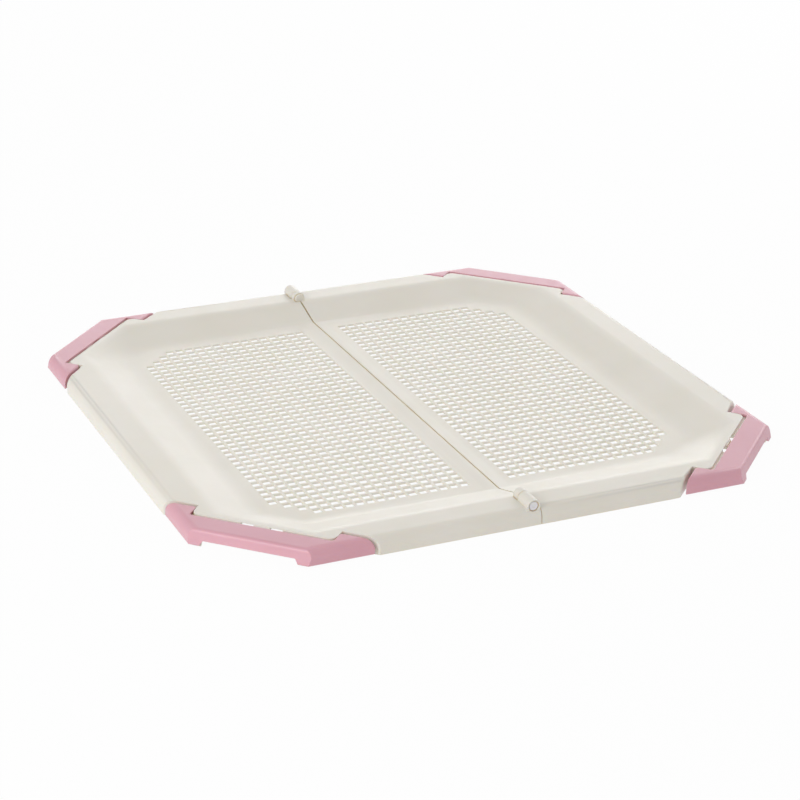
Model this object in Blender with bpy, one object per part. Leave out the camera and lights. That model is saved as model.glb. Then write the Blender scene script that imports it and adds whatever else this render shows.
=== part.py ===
"""Folding tray that holds a training pad: two hinged halves and four corner clips.

The tray lies flat on the ground. X runs across the fold, Y along it, Z is up, and the
origin is on the ground at the middle of the tray. The seam between the halves is at x = 0.
Lengths are in metres.
"""

import math

import bmesh
import bpy
from mathutils import Matrix

# Tray outline
TRAY_SIDE = 0.600
CORNER_LEG = 0.080
CORNER_LEAN = 0.0050
RIM_HEIGHT = 0.0165
RIM_WIDTH = 0.035
RIM_EDGE_RADIUS = 0.010
CORNER_RIM_WIDTH = 0.0389
CORNER_EDGE_RADIUS = 0.003
WALL = 0.0022

# Sunk floor and its sloping side
SLOPE_RUN = 0.040
CORNER_SLOPE_RUN = 0.0339
FLOOR_TOP = 0.0042
FLOOR_THICKNESS = 0.0020

# Open mesh of the floor
MESH_PITCH = 0.021
MESH_BAR = 0.0056
MESH_FROM_SEAM = 0.0223
MESH_FROM_SLOPE = 0.0175
MESH_FROM_CORNER = 0.007

# Seam and the low ridge beside it
SEAM_GAP = 0.0012
RIDGE_HEIGHT = 0.0010
RIDGE_WIDTH = 0.0010
RIDGE_FOOT = 0.0120

# Fold hinge at each end of the seam
HINGE_RISE = 0.0013
HINGE_INSET = 0.001
RING_LENGTH = 0.004
RING_RADIUS = 0.0055
BARREL_LENGTH = 0.0135
BARREL_RADIUS = 0.0065
LUG_RADIUS = 0.0065
LUG_SHOULDER = 0.0002
LUG_SETBACK = 0.003
KNUCKLE_GAP = 0.0005
HINGE_WALL = 0.0022
PIN_RADIUS = 0.0022
PIN_BLIND_END = 0.0012
PIN_HEAD_RADIUS = 0.0050
PIN_HEAD_THICKNESS = 0.0012
PIN_HEAD_RECESS = 0.0003
HEAD_GAP = 0.0004

# Corner clip
CLIP_DEPTH = 0.0283
CLIP_PLATE = 0.0026
CLIP_WALL = 0.0022
CLIP_LIFT = 0.0020
CLIP_FILLET = 0.005
CLIP_NOTCH_FROM_MIDDLE = 0.008
CLIP_NOTCH_WIDTH = 0.012
CLIP_NOTCH_DEPTH = 0.0036
PIVOT_DEPTH = 0.0397
PIVOT_REACH = 0.0129
KNUCKLE_RADIUS = 0.0071
KNUCKLE_CHEEK_DEPTH = 0.0060
HEEL_TRIM = 0.00115
STUB_RADIUS = 0.0022
STUB_LENGTH = 0.004
GRIP_HALF_WIDTH = 0.044
GRIP_TAPER = 0.003
GRIP_HEIGHT = 0.0065

# Tray corner under a clip
SEAT_GAP = 0.0003
SKIRT_RECESS = 0.0040
STEP_GAP = 0.0024
CORNER_FILLET = 0.005
FILLET_OVERRUN = 0.0001
LEDGE_OVERLAP = 0.0012
KEEPER_DEPTH = 0.0012
KEEPER_HEIGHT = 0.0018
SLOT_UNDERCUT = 0.004
SLOT_DEPTH = 0.008
SLOT_ROOF = 0.0015
GRIP_CLEARANCE = 0.0010
HEEL_GAP = 0.0009
POCKET_GAP = 0.0006
SOCKET_WALL = 0.0022
SOCKET_END = 0.0018

# Clearance, cut overrun and fineness of round shapes
RUNNING_GAP = 0.0003
OVERRUN = 0.004
WELD = 0.000002
ROUND_SIDES = 24
STUB_SIDES = 16
EDGE_STEPS = 3
FILLET_STEPS = 4
SMOOTH_ANGLE = math.radians(32)

# Finishes of the moulded plastic: linear colours and one roughness
TRAY_IVORY = (0.80, 0.77, 0.69)
CLIP_PINK = (0.69, 0.36, 0.42)
PIN_PALE = (0.74, 0.69, 0.70)
SATIN_SHARE = 0.45

# Places worked out from the sizes
ROOT_TWO = math.sqrt(2)
TRAY_HALF = TRAY_SIDE / 2
CORNER_FACE = (TRAY_SIDE - CORNER_LEG) / ROOT_TWO
CORNER_HALF = CORNER_LEG / ROOT_TWO
CORNER_SLOPE = CORNER_LEAN / RIM_HEIGHT
CREASE_HALF = TRAY_HALF - RIM_WIDTH
CREASE_CORNER = CORNER_FACE - CORNER_RIM_WIDTH
FLOOR_HALF = CREASE_HALF - SLOPE_RUN
FLOOR_CORNER = CREASE_CORNER - CORNER_SLOPE_RUN
LEDGE_TOP = RIM_HEIGHT - CLIP_PLATE - SEAT_GAP
HINGE_Z = RIM_HEIGHT + HINGE_RISE
RING_START = CREASE_HALF + HINGE_INSET
RING_END = RING_START + RING_LENGTH
BARREL_START = RING_END + KNUCKLE_GAP
BARREL_END = BARREL_START + BARREL_LENGTH
LUG_START = BARREL_END + KNUCKLE_GAP
LUG_END = TRAY_HALF - LUG_SETBACK
TONGUE_HALF = LUG_RADIUS + LUG_SHOULDER
PIN_BORE_RADIUS = PIN_RADIUS + RUNNING_GAP
CLIP_EDGE = CORNER_FACE - CLIP_DEPTH
STEP_FACE = CLIP_EDGE - STEP_GAP
PIVOT = CORNER_FACE - PIVOT_DEPTH
PIVOT_Z = RIM_HEIGHT - KNUCKLE_RADIUS
HEEL_RADIUS = math.hypot(KNUCKLE_RADIUS, PIVOT_Z - CLIP_LIFT) - HEEL_TRIM
CHEEK = CORNER_HALF + PIVOT_REACH
POCKET_SIDE = CHEEK - RUNNING_GAP
POCKET_BACK = PIVOT - HEEL_RADIUS - HEEL_GAP
POCKET_FRONT = PIVOT + HEEL_RADIUS + POCKET_GAP
FAR = TRAY_SIDE


def clear_scene():
    """Remove the objects and meshes that the file starts with."""
    for item in list(bpy.data.objects):
        bpy.data.objects.remove(item, do_unlink=True)
    for mesh in list(bpy.data.meshes):
        bpy.data.meshes.remove(mesh)


def new_collection(name):
    """Make a collection in the scene."""
    group = bpy.data.collections.new(name)
    bpy.context.scene.collection.children.link(group)
    return group


def plastic(name, colour, roughness):
    """Make a plain moulded plastic from linear colour and roughness."""
    material = bpy.data.materials.new(name)
    material.use_nodes = True
    shader = material.node_tree.nodes["Principled BSDF"]
    shader.inputs["Base Color"].default_value = (*colour, 1.0)
    shader.inputs["Roughness"].default_value = roughness
    shader.inputs["Metallic"].default_value = 0.0
    return material


def tool_object(name, mesh):
    """Put a mesh in the collection of cutters."""
    item = bpy.data.objects.new(name, mesh)
    item.hide_render = True
    item.display_type = "WIRE"
    bpy.data.collections["cutters"].objects.link(item)
    return item


def tool_from_bmesh(name, bm, placement=None):
    """Turn a bmesh into a closed cutter, placed by a matrix."""
    if placement is not None:
        bmesh.ops.transform(bm, matrix=placement, verts=bm.verts)
    bmesh.ops.recalc_face_normals(bm, faces=bm.faces)
    mesh = bpy.data.meshes.new(name)
    bm.to_mesh(mesh)
    bm.free()
    return tool_object(name, mesh)


def box(name, low, high, placement=None):
    """Make a box between two corners."""
    bm = bmesh.new()
    bmesh.ops.create_cube(bm, size=1.0)
    for vert in bm.verts:
        vert.co = [upper if c > 0 else lower for c, lower, upper in zip(vert.co, low, high)]
    return tool_from_bmesh(name, bm, placement)


def cylinder_along_y(name, radius, start, end, x, z, placement=None, sides=ROUND_SIDES):
    """Make a cylinder whose axis runs along Y at the given x and z."""
    bm = bmesh.new()
    bmesh.ops.create_cone(
        bm, cap_ends=True, segments=sides, radius1=radius, radius2=radius, depth=1.0
    )
    for vert in bm.verts:
        vert.co = (x + vert.co.x, end if vert.co.z > 0 else start, z + vert.co.y)
    return tool_from_bmesh(name, bm, placement)


def frustum(name, low_radius, high_radius, low_z, high_z, turn, edge_radius):
    """Make a four-sided frustum on the Z axis with its top edges rounded."""
    bm = bmesh.new()
    bmesh.ops.create_cone(
        bm,
        cap_ends=True,
        segments=4,
        radius1=low_radius,
        radius2=high_radius,
        depth=1.0,
        matrix=Matrix.Rotation(turn, 4, "Z"),
    )
    rim = [edge for edge in bm.edges if all(vert.co.z > 0 for vert in edge.verts)]
    for vert in bm.verts:
        vert.co.z = high_z if vert.co.z > 0 else low_z
    if edge_radius > WELD:
        bmesh.ops.bevel(
            bm,
            geom=rim,
            offset=edge_radius,
            segments=EDGE_STEPS,
            profile=0.5,
            affect="EDGES",
            material=-1,
        )
    return tool_from_bmesh(name, bm)


def extrude_outline(name, points, thickness, placement):
    """Extrude a closed flat outline through its thickness, as a filled 2D curve."""
    curve = bpy.data.curves.new(name, "CURVE")
    curve.dimensions = "2D"
    curve.fill_mode = "BOTH"
    curve.extrude = thickness / 2
    spline = curve.splines.new("POLY")
    spline.points.add(len(points) - 1)
    for spot, (u, v) in zip(spline.points, points):
        spot.co = (u, v, 0, 1)
    spline.use_cyclic_u = True
    sketch = bpy.data.objects.new(name + "_sketch", curve)
    bpy.data.collections["cutters"].objects.link(sketch)
    graph = bpy.context.evaluated_depsgraph_get()
    mesh = bpy.data.meshes.new_from_object(sketch.evaluated_get(graph))
    bpy.data.objects.remove(sketch)
    bm = bmesh.new()
    bm.from_mesh(mesh)
    bpy.data.meshes.remove(mesh)
    bmesh.ops.remove_doubles(bm, verts=bm.verts, dist=WELD)
    bmesh.ops.dissolve_limit(bm, angle_limit=math.radians(1), verts=bm.verts, edges=bm.edges)
    return tool_from_bmesh(name, bm, placement)


def plan_prism(name, points, low_z, high_z, turn=0):
    """Extrude an outline drawn in plan between two heights."""
    rise = Matrix.Translation((0, 0, (low_z + high_z) / 2))
    return extrude_outline(name, points, high_z - low_z, Matrix.Rotation(turn, 4, "Z") @ rise)


def profile_prism(name, points, half_length):
    """Extrude an outline drawn in X and Z along Y, to both sides of y = 0."""
    stand = Matrix.Rotation(math.radians(90), 4, "X")
    return extrude_outline(name, points, half_length * 2, stand)


def arc(centre, radius, start, end, steps):
    """Points of an arc, from one angle to another in degrees."""
    points = []
    for step in range(steps + 1):
        angle = math.radians(start + (end - start) * step / steps)
        points.append((centre[0] + radius * math.cos(angle), centre[1] + radius * math.sin(angle)))
    return points


def both_sides(points):
    """Mirror an outline that is drawn for the positive second coordinate."""
    return [(u, -v) for u, v in reversed(points)] + points


def combine(body, operation, tool):
    """Join, cut or keep what two solids share, and store the result in the first."""
    modifier = body.modifiers.new(tool.name, "BOOLEAN")
    modifier.operation = operation
    modifier.solver = "EXACT"
    modifier.object = tool
    graph = bpy.context.evaluated_depsgraph_get()
    result = bpy.data.meshes.new_from_object(body.evaluated_get(graph))
    body.modifiers.clear()
    old = body.data
    body.data = result
    bpy.data.meshes.remove(old)
    return body


def cut(body, *tools):
    """Cut each tool from the body."""
    for tool in tools:
        combine(body, "DIFFERENCE", tool)
    return body


def join(body, *tools):
    """Join each tool to the body."""
    for tool in tools:
        combine(body, "UNION", tool)
    return body


def keep(body, *tools):
    """Keep only what the body shares with each tool."""
    for tool in tools:
        combine(body, "INTERSECT", tool)
    return body


def corner_sum(face, height):
    """Reach of the leaning corner faces along X or Y, for a distance to the face."""
    return (face - CORNER_SLOPE * height) * ROOT_TWO


def envelope(name, inset, top, turn=0):
    """Outer form of the tray, set in by a wall and cut off at a height."""
    low = -OVERRUN if inset > 0 else 0
    radius = max(RIM_EDGE_RADIUS - inset, 0)
    half = (TRAY_HALF - inset) * ROOT_TWO
    form = frustum(name, half, half, low, top, turn + math.radians(45), radius)
    face = CORNER_FACE - inset
    corners = frustum(
        name + "_corners",
        corner_sum(face, low - OVERRUN),
        corner_sum(face, top),
        low - OVERRUN,
        top,
        turn,
        max(CORNER_EDGE_RADIUS - inset, 0),
    )
    return keep(form, corners)


def basin(name, drop):
    """Sunk space above the floor, lowered by the drop for the underside."""
    top = RIM_HEIGHT + OVERRUN
    grow = (top - FLOOR_TOP) / (RIM_HEIGHT - FLOOR_TOP)
    low_half = FLOOR_HALF * ROOT_TWO
    high_half = (FLOOR_HALF + SLOPE_RUN * grow) * ROOT_TWO
    low_sum = FLOOR_CORNER * ROOT_TWO
    high_sum = (FLOOR_CORNER + CORNER_SLOPE_RUN * grow) * ROOT_TWO
    low_z = FLOOR_TOP - drop
    high_z = top - drop
    space = frustum(name, low_half, high_half, low_z, high_z, math.radians(45), 0)
    return keep(space, frustum(name + "_corners", low_sum, high_sum, low_z, high_z, 0, 0))


def ridge():
    """Raised edge of the floor beside the seam."""
    inner = SEAM_GAP / 2 + RIDGE_WIDTH
    top = FLOOR_TOP + RIDGE_HEIGHT
    points = [
        (inner, -OVERRUN),
        (inner, top),
        (-inner, top),
        (-inner - RIDGE_FOOT, FLOOR_TOP),
        (-inner - RIDGE_FOOT, -OVERRUN),
    ]
    return profile_prism("ridge", points, FAR)


def recess_outline(grow):
    """Plan of the clip's recess in a corner frame, grown by a wall."""
    centre = (STEP_FACE - CORNER_FILLET, POCKET_SIDE + FILLET_OVERRUN - CORNER_FILLET)
    points = arc(centre, CORNER_FILLET - grow, 0, 90, FILLET_STEPS)
    points += [(centre[0], FAR), (FAR, FAR)]
    return both_sides(points)


def pocket(name, grow, side, turn):
    """Space for one knuckle of a clip, open to the ground, on one side of the corner."""
    low = (POCKET_BACK - grow, POCKET_SIDE - grow, -OVERRUN * 3)
    high = (POCKET_FRONT + grow, FAR, RIM_HEIGHT + OVERRUN)
    flip = Matrix.Diagonal((1, side, 1, 1))
    return box(name, low, high, Matrix.Rotation(turn, 4, "Z") @ flip)


def socket(name, radius, depth, side, turn):
    """Round bore or boss for one stub of a clip, in the side of its pocket."""
    start = (POCKET_SIDE + OVERRUN) * side
    end = (POCKET_SIDE - depth) * side
    place = Matrix.Rotation(turn, 4, "Z")
    return cylinder_along_y(name, radius, start, end, PIVOT, PIVOT_Z, place, STUB_SIDES)


def half_plan():
    """Plan of the left half: its tongue at the front, and the room for the other's behind."""
    seam = -SEAM_GAP / 2
    notch = -TONGUE_HALF - KNUCKLE_GAP
    return [
        (-FAR, -FAR),
        (TONGUE_HALF, -FAR),
        (TONGUE_HALF, -LUG_START),
        (seam, -LUG_START),
        (seam, BARREL_END),
        (notch, BARREL_END),
        (notch, FAR),
        (-FAR, FAR),
    ]


def hollow_plan():
    """Plan of the space under the left half, short of the seam and the hinges."""
    seam = -SEAM_GAP / 2 - WALL
    hinge = -TONGUE_HALF - KNUCKLE_GAP - HINGE_WALL
    start = RING_START - HINGE_WALL
    return [
        (-FAR, -FAR),
        (hinge, -FAR),
        (hinge, -start),
        (seam, -start),
        (seam, start),
        (hinge, start),
        (hinge, FAR),
        (-FAR, FAR),
    ]


def half_hollow(turns):
    """Space under the left half, with the walls of its clip corners left out of it."""
    high = RIM_HEIGHT + OVERRUN
    hollow = envelope("hollow", WALL, RIM_HEIGHT - WALL)
    for index, turn in enumerate(turns):
        name = f"corner_{index}"
        wall = plan_prism(name + "_wall", recess_outline(WALL), -OVERRUN * 2, high, turn)
        cut(hollow, wall)
    low_hollow = envelope("low_hollow", SKIRT_RECESS + WALL, LEDGE_TOP - WALL)
    for index, turn in enumerate(turns):
        place = Matrix.Rotation(turn, 4, "Z")
        low = (STEP_FACE - WALL - LEDGE_OVERLAP, -FAR, -OVERRUN * 2)
        corner = box(f"corner_{index}_room", low, (FAR, FAR, high), place)
        part = tool_object(f"corner_{index}_hollow", low_hollow.data.copy())
        keep(part, corner)
        join(hollow, part)
    keep(hollow, plan_prism("hollow_plan", hollow_plan(), -OVERRUN * 2, high))
    cut(hollow, basin("underside", FLOOR_THICKNESS))
    for index, turn in enumerate(turns):
        for side in (-1, 1):
            name = f"corner_{index}_{side}"
            cut(hollow, pocket(name + "_pocket_wall", WALL, side, turn))
            radius = STUB_RADIUS + RUNNING_GAP + SOCKET_WALL
            depth = STUB_LENGTH + SOCKET_END
            cut(hollow, socket(name + "_boss", radius, depth, side, turn))
    return hollow


def mesh_openings():
    """Square openings of the floor of the left half, one cutter with them all."""
    opening = MESH_PITCH - MESH_BAR
    columns = int((FLOOR_HALF - MESH_FROM_SLOPE - MESH_FROM_SEAM + MESH_BAR) / MESH_PITCH)
    rows = int((2 * (FLOOR_HALF - MESH_FROM_SLOPE) + MESH_BAR) / MESH_PITCH)
    height = FLOOR_TOP + OVERRUN
    bm = bmesh.new()
    for column in range(columns):
        x = -MESH_FROM_SEAM - opening / 2 - column * MESH_PITCH
        for row in range(rows):
            y = (row - (rows - 1) / 2) * MESH_PITCH
            reach = (abs(x) + abs(y) + opening) / ROOT_TWO
            if reach > FLOOR_CORNER - MESH_FROM_CORNER:
                continue
            place = Matrix.Translation((x, y, FLOOR_TOP / 2))
            size = Matrix.Diagonal((opening, opening, height, 1))
            bmesh.ops.create_cube(bm, size=1.0, matrix=place @ size)
    return tool_from_bmesh("mesh_openings", bm)


def corner_skin(index, turn):
    """What a clip's recess takes off the tray's corner: the ledge and keeper stay."""
    high = RIM_HEIGHT + OVERRUN
    skin = plan_prism(f"recess_{index}", recess_outline(0), -OVERRUN, high, turn)
    cut(skin, envelope(f"ledge_{index}", SKIRT_RECESS, LEDGE_TOP))
    side = CLIP_NOTCH_FROM_MIDDLE - RUNNING_GAP
    low = (STEP_FACE - WALL, -side, 0)
    top = (STEP_FACE + KEEPER_DEPTH, side, LEDGE_TOP + KEEPER_HEIGHT)
    return cut(skin, box(f"keeper_{index}", low, top, Matrix.Rotation(turn, 4, "Z")))


def cut_corner(body, index, turn):
    """Shape the corner of the tray that one clip covers."""
    place = Matrix.Rotation(turn, 4, "Z")
    cut(body, corner_skin(index, turn))
    for side in (-1, 1):
        name = f"corner_{index}_{side}"
        cut(body, pocket(name + "_pocket", 0, side, turn))
        bore = socket(name + "_socket", STUB_RADIUS + RUNNING_GAP, STUB_LENGTH, side, turn)
        cut(body, bore)
        near = CLIP_NOTCH_FROM_MIDDLE
        flip = Matrix.Diagonal((1, side, 1, 1))
        low = (STEP_FACE - SLOT_UNDERCUT, near, -OVERRUN)
        high = (STEP_FACE - SLOT_UNDERCUT + SLOT_DEPTH, near + CLIP_NOTCH_WIDTH,
                RIM_HEIGHT - SLOT_ROOF)
        cut(body, box(name + "_slot", low, high, place @ flip))
    low = (CORNER_FACE - CLIP_DEPTH / 2, -GRIP_HALF_WIDTH, -OVERRUN)
    high = (FAR, GRIP_HALF_WIDTH, GRIP_HEIGHT - GRIP_CLEARANCE)
    return cut(body, box(f"grip_{index}", low, high, place))


def add_hinges(body):
    """Join the hinge knuckles to the left half and make room for the other half's."""
    clearance = KNUCKLE_GAP
    barrel_room = cylinder_along_y(
        "barrel_room", BARREL_RADIUS + clearance, -RING_END, -LUG_START, 0, HINGE_Z
    )
    ring_room = cylinder_along_y(
        "ring_room", RING_RADIUS + clearance, RING_START - clearance, BARREL_START, 0, HINGE_Z
    )
    cut(body, barrel_room, ring_room)
    ring = cylinder_along_y("ring", RING_RADIUS, -RING_START, -RING_END, 0, HINGE_Z)
    barrel = cylinder_along_y("barrel", BARREL_RADIUS, BARREL_START, BARREL_END, 0, HINGE_Z)
    lug = cylinder_along_y("lug", LUG_RADIUS, -LUG_START, -LUG_END, 0, HINGE_Z)
    low = (-LUG_RADIUS, -LUG_END, FLOOR_TOP)
    foot = box("lug_foot", low, (LUG_RADIUS, -LUG_START, HINGE_Z))
    join(lug, foot)
    join(body, ring, barrel, lug)
    front_bore = cylinder_along_y(
        "front_bore", PIN_BORE_RADIUS, -RING_START - PIN_BLIND_END, -FAR, 0, HINGE_Z
    )
    rear_bore = cylinder_along_y("rear_bore", PIN_BORE_RADIUS, RING_END, FAR, 0, HINGE_Z)
    head_floor = LUG_END - PIN_HEAD_RECESS - PIN_HEAD_THICKNESS - RUNNING_GAP
    head_room = cylinder_along_y(
        "head_room", PIN_HEAD_RADIUS + HEAD_GAP, -head_floor, -FAR, 0, HINGE_Z
    )
    return cut(body, front_bore, rear_bore, head_room)


def make_half_mesh():
    """Mesh of one tray half, with its origin on the middle of the fold axis."""
    turns = (math.radians(135), math.radians(225))
    body = envelope("half", 0, RIM_HEIGHT)
    keep(body, plan_prism("half_plan", half_plan(), -OVERRUN, RIM_HEIGHT + OVERRUN))
    cut(body, half_hollow(turns))
    for index, turn in enumerate(turns):
        cut_corner(body, index, turn)
    space = basin("basin", 0)
    cut(space, ridge())
    cut(body, space, mesh_openings())
    add_hinges(body)
    mesh = body.data.copy()
    mesh.transform(Matrix.Translation((0, 0, -HINGE_Z)))
    return mesh


def clip_plan():
    """Plan of a clip in its corner frame, wider than the tray at its outer sides."""
    back = PIVOT - HEEL_RADIUS
    far_notch = CLIP_NOTCH_FROM_MIDDLE + CLIP_NOTCH_WIDTH
    notch = CLIP_EDGE + CLIP_NOTCH_DEPTH
    points = [
        (CLIP_EDGE, CLIP_NOTCH_FROM_MIDDLE),
        (notch, CLIP_NOTCH_FROM_MIDDLE),
        (notch, far_notch),
        (CLIP_EDGE, far_notch),
    ]
    points += arc((CLIP_EDGE - CLIP_FILLET, CHEEK - CLIP_FILLET), CLIP_FILLET, 0, 90, FILLET_STEPS)
    points += [(back, CHEEK), (back, FAR), (FAR, FAR)]
    return both_sides(points)


def clip_profile():
    """Side view of a clip: round knuckle on top, heel cut round the pivot below."""
    drop = PIVOT_Z - CLIP_LIFT
    low_angle = 180 + math.degrees(math.asin(drop / HEEL_RADIUS))
    high_angle = 180 + math.degrees(math.acos(KNUCKLE_RADIUS / HEEL_RADIUS))
    pivot = (PIVOT, PIVOT_Z)
    points = [(FAR, CLIP_LIFT)]
    points += arc(pivot, HEEL_RADIUS, low_angle, high_angle, FILLET_STEPS)
    points += arc(pivot, KNUCKLE_RADIUS, 180, 90, FILLET_STEPS * 2)
    points += [(PIVOT, RIM_HEIGHT + OVERRUN), (FAR, RIM_HEIGHT + OVERRUN)]
    return points


def clip_hollow(turn):
    """Space under a clip, short of its knuckle cheeks and round ends."""
    top = RIM_HEIGHT - CLIP_PLATE
    hollow = envelope("clip_hollow", CLIP_WALL, top, turn)
    cheek = PIVOT + KNUCKLE_CHEEK_DEPTH
    cheek_side = CHEEK + CLIP_WALL
    back = PIVOT - KNUCKLE_RADIUS
    plan = both_sides([(cheek, cheek_side), (back, cheek_side), (back, FAR), (FAR, FAR)])
    keep(hollow, plan_prism("clip_hollow_plan", plan, -OVERRUN * 2, RIM_HEIGHT))
    inner = KNUCKLE_RADIUS - CLIP_WALL
    points = [(FAR, -OVERRUN * 2), (PIVOT - inner, -OVERRUN * 2)]
    points += arc((PIVOT, PIVOT_Z), inner, 180, 90, FILLET_STEPS)
    points += [(FAR, PIVOT_Z + inner)]
    return keep(hollow, profile_prism("clip_hollow_profile", points, FAR))


def clip_stubs():
    """The two stubs that a clip turns on."""
    stubs = []
    for side in (-1, 1):
        start = (CHEEK - STUB_LENGTH + RUNNING_GAP * 2) * side
        end = (CHEEK + CLIP_WALL / 2) * side
        name = f"stub_{side}"
        stub = cylinder_along_y(name, STUB_RADIUS, start, end, PIVOT, PIVOT_Z, None, STUB_SIDES)
        stubs.append(stub)
    return stubs


def make_clip_mesh():
    """Mesh of one corner clip, outward along X, with its origin on its pivot."""
    turn = math.radians(45)
    body = envelope("clip", 0, RIM_HEIGHT, turn)
    plan = plan_prism("clip_plan", clip_plan(), -OVERRUN, RIM_HEIGHT + OVERRUN * 2)
    keep(body, plan, profile_prism("clip_profile", clip_profile(), FAR))
    cut(body, clip_hollow(turn))
    wide = GRIP_HALF_WIDTH + GRIP_TAPER
    points = [
        (-wide, CLIP_LIFT),
        (-GRIP_HALF_WIDTH, GRIP_HEIGHT),
        (GRIP_HALF_WIDTH, GRIP_HEIGHT),
        (wide, CLIP_LIFT),
        (wide, CLIP_LIFT - OVERRUN),
        (-wide, CLIP_LIFT - OVERRUN),
    ]
    stand = Matrix.Rotation(math.radians(90), 4, "Z") @ Matrix.Rotation(math.radians(90), 4, "X")
    shift = Matrix.Translation((CORNER_FACE, 0, 0))
    cut(body, extrude_outline("grip", points, CLIP_DEPTH, shift @ stand))
    join(body, *clip_stubs())
    mesh = body.data.copy()
    mesh.transform(Matrix.Translation((-PIVOT, 0, -PIVOT_Z)))
    return mesh


def make_pin_mesh():
    """Mesh of the front hinge pin, with its origin on the middle of the fold axis."""
    inner = RING_START + PIN_BLIND_END + RUNNING_GAP
    head_start = LUG_END - PIN_HEAD_RECESS - PIN_HEAD_THICKNESS
    head_end = LUG_END - PIN_HEAD_RECESS
    shank_end = head_start + PIN_HEAD_THICKNESS / 2
    shank = cylinder_along_y("pin_shank", PIN_RADIUS, -inner, -shank_end, 0, 0)
    head = cylinder_along_y("pin_head", PIN_HEAD_RADIUS, -head_start, -head_end, 0, 0)
    join(shank, head)
    return shank.data.copy()


def place_part(name, mesh, location, turn, material):
    """Make the object of one sub-part."""
    part = bpy.data.objects.new(name, mesh)
    part.location = location
    part.rotation_euler = (0, 0, turn)
    bpy.data.collections["training_pad_holder"].objects.link(part)
    part.data.materials.clear()
    part.data.materials.append(material)
    return part


def finish_mesh(mesh):
    """Weld what the cuts left and shade the round faces smooth."""
    bm = bmesh.new()
    bm.from_mesh(mesh)
    bmesh.ops.remove_doubles(bm, verts=bm.verts, dist=WELD)
    bmesh.ops.dissolve_degenerate(bm, edges=bm.edges, dist=WELD)
    bm.to_mesh(mesh)
    bm.free()
    mesh.shade_smooth()
    mesh.set_sharp_from_angle(angle=SMOOTH_ANGLE)
    return mesh


def build():
    """Build the whole holder."""
    clear_scene()
    new_collection("training_pad_holder")
    new_collection("cutters")
    half_mesh = finish_mesh(make_half_mesh())
    clip_mesh = finish_mesh(make_clip_mesh())
    pin_mesh = finish_mesh(make_pin_mesh())
    axis = (0, 0, HINGE_Z)
    for name, turn in (("left_half", 0), ("right_half", math.pi)):
        ivory = plastic(name + "_ivory", TRAY_IVORY, SATIN_SHARE)
        place_part(name, half_mesh.copy(), axis, turn, ivory)
    corners = {"rear_right": 45, "rear_left": 135, "front_left": 225, "front_right": 315}
    for corner, degrees in corners.items():
        turn = math.radians(degrees)
        location = (PIVOT * math.cos(turn), PIVOT * math.sin(turn), PIVOT_Z)
        pink = plastic(f"clip_{corner}_pink", CLIP_PINK, SATIN_SHARE)
        place_part(f"clip_{corner}", clip_mesh.copy(), location, turn, pink)
    for name, turn in (("hinge_pin_front", 0), ("hinge_pin_rear", math.pi)):
        pale = plastic(name + "_pale", PIN_PALE, SATIN_SHARE)
        place_part(name, pin_mesh.copy(), axis, turn, pale)


build()
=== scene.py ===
"""Looks of a folding tray that holds a training pad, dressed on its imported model.

X runs across the fold, Y along it, Z is up, lengths are in metres, and the origin is on
the ground at the middle of the tray.
"""

import logging
import math
from dataclasses import dataclass, field
from enum import Enum
from typing import Callable

import bmesh
import bpy
from mathutils import Matrix, Vector


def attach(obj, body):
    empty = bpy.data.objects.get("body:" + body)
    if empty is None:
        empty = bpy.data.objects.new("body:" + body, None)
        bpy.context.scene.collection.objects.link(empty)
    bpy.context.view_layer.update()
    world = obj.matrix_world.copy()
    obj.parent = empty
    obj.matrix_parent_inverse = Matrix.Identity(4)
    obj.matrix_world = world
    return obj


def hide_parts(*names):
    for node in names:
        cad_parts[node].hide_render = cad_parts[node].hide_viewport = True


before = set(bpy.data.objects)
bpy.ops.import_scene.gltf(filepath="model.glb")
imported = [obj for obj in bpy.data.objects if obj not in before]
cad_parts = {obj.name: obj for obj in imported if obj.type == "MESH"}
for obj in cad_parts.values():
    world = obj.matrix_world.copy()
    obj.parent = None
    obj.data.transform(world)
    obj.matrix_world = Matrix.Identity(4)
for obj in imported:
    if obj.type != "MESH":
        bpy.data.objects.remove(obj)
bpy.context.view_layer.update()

ROOT_TWO = math.sqrt(2)
LOG = logging.getLogger("tray")

# Points nearer than this become one.
WELD_DISTANCE = 0.000002
# How far a form runs past a flat, and how close to a line a point counts as on it.
HAIR = 0.00002
# How close to a face a point counts as beside it.
NEAR = 0.0001
# Least height between two rings of the outer form.
RING_GAP = 0.00008
# Bends sharper than these are rounded, or shown as an edge.
ROUNDED_ANGLE = math.radians(25)
SHOWN_ANGLE = math.radians(28)
# Pull of the larger faces on the shading where faces meet; 50 would be even.
FLAT_WEIGHT = 80
# Facets round a rod, round a small stub, and over the rounding of a rod's end.
ROD_SIDES = 48
STUB_SIDES = 24
ROD_END_STEPS = 4
# Facets over an edge, a bend and a corner.
EDGE_STEPS = 3
BEND_STEPS = 5
CORNER_STEPS = 8

Point = tuple[float, float]
Spot = tuple[float, float, float]
Ring = tuple[float, float, float]


class Half(Enum):
    """The two halves of the tray, each with its turn about Z in degrees."""

    LEFT = 0
    RIGHT = 180

    @property
    def node(self) -> str:
        """Name of the half's body and solid."""
        return f"{self.name.lower()}_half"


class Corner(Enum):
    """The four corners, each with the heading of its outward direction in degrees."""

    REAR_RIGHT = 45
    REAR_LEFT = 135
    FRONT_LEFT = 225
    FRONT_RIGHT = 315

    @property
    def node(self) -> str:
        """Name of the body and solid of the clip at this corner."""
        return f"clip_{self.name.lower()}"


# Shape tools


def put(name: str, data: bpy.types.ID) -> bpy.types.Object:
    """Add an object to the scene.

    Args:
        name: its name.
        data: its mesh, lamp or camera.

    Returns:
        The object.
    """
    item = bpy.data.objects.new(name, data)
    bpy.context.scene.collection.objects.link(item)
    return item


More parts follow.
